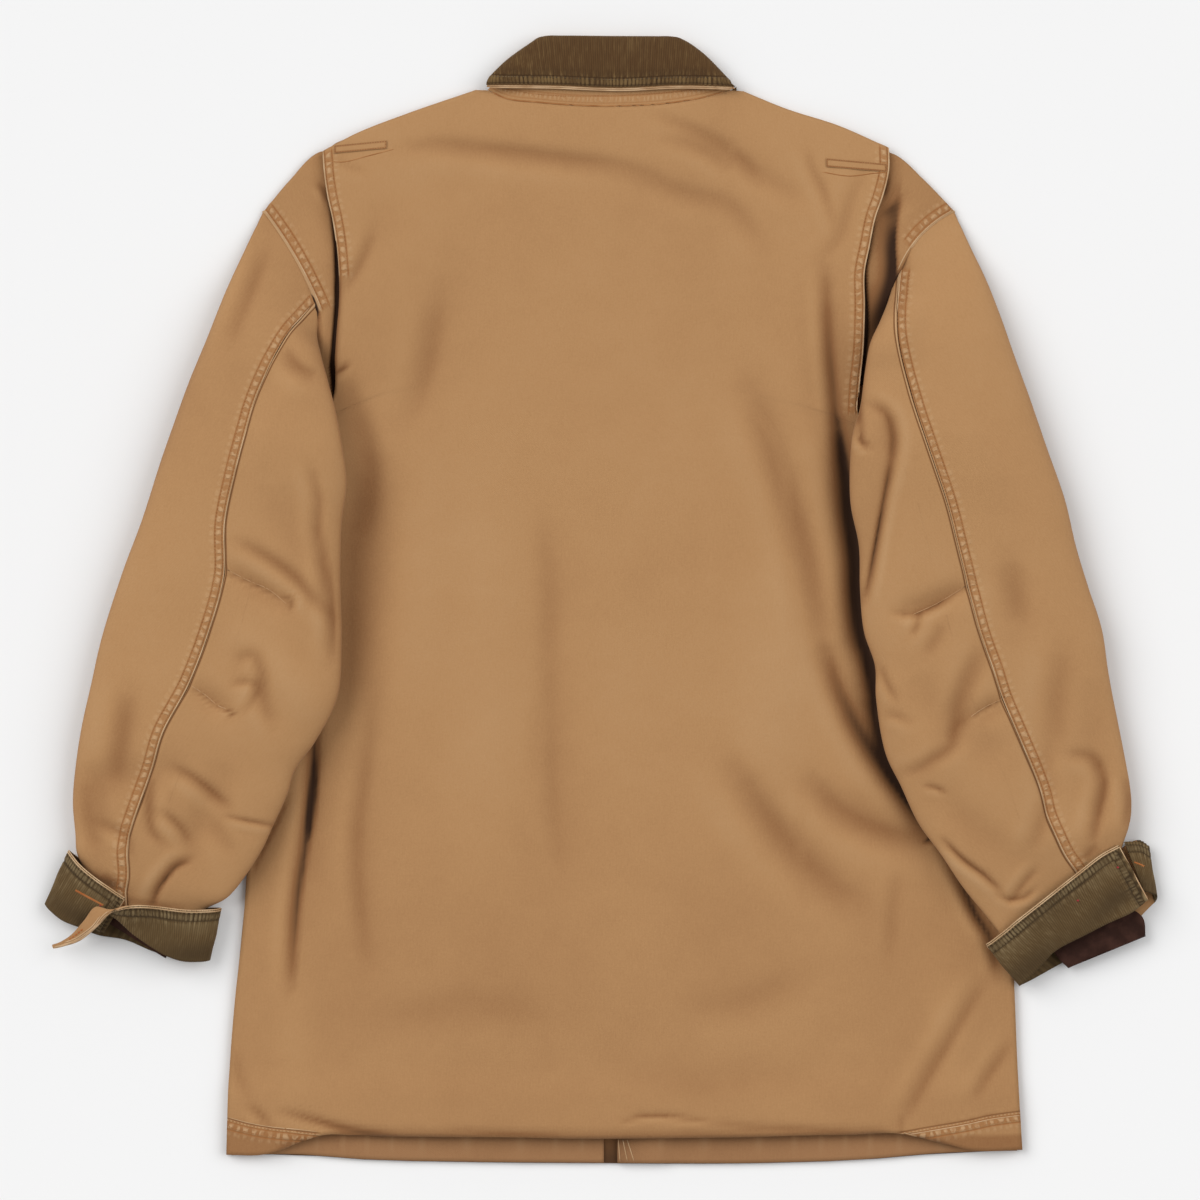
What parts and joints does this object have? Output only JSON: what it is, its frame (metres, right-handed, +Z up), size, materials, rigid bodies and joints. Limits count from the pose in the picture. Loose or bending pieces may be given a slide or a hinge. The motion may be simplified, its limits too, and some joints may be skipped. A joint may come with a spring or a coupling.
{
  "type": "barn coat",
  "caption": "Tan canvas barn coat with a brown corduroy collar and turned-back cuffs, laid face down, with action pleats across the back.",
  "frame": {"origin": "centre of the coat's bounding box in plan, on the surface that it lies on", "axes": "+Z up from the surface, +Y from hem to collar, +X to the right as its back is seen from above"},
  "size_m": [0.902, 0.9169, 0.0509],
  "materials": {
    "canvas": "matt",
    "corduroy": "matt",
    "inner_cuff": "matt"
  },
  "bodies": {
    "root": {"back": "canvas", "collar_fall": "corduroy", "collar_front_left": "corduroy", "collar_front_right": "corduroy", "collar_stand": "canvas", "cuff_left": "corduroy", "cuff_right": "corduroy", "front_hem_left": "canvas", "front_hem_right": "canvas", "front_left": "canvas", "front_right": "canvas", "inner_cuff_left": "inner_cuff", "inner_cuff_right": "inner_cuff", "neck_strip": "canvas", "pleat_gusset_left": "canvas", "pleat_gusset_right": "canvas", "shoulder_tab_left": "canvas", "shoulder_tab_right": "canvas", "sleeve_inner_left": "canvas", "sleeve_inner_right": "canvas", "sleeve_outer_left": "canvas", "sleeve_outer_right": "canvas"}
  },
  "joints": []
}
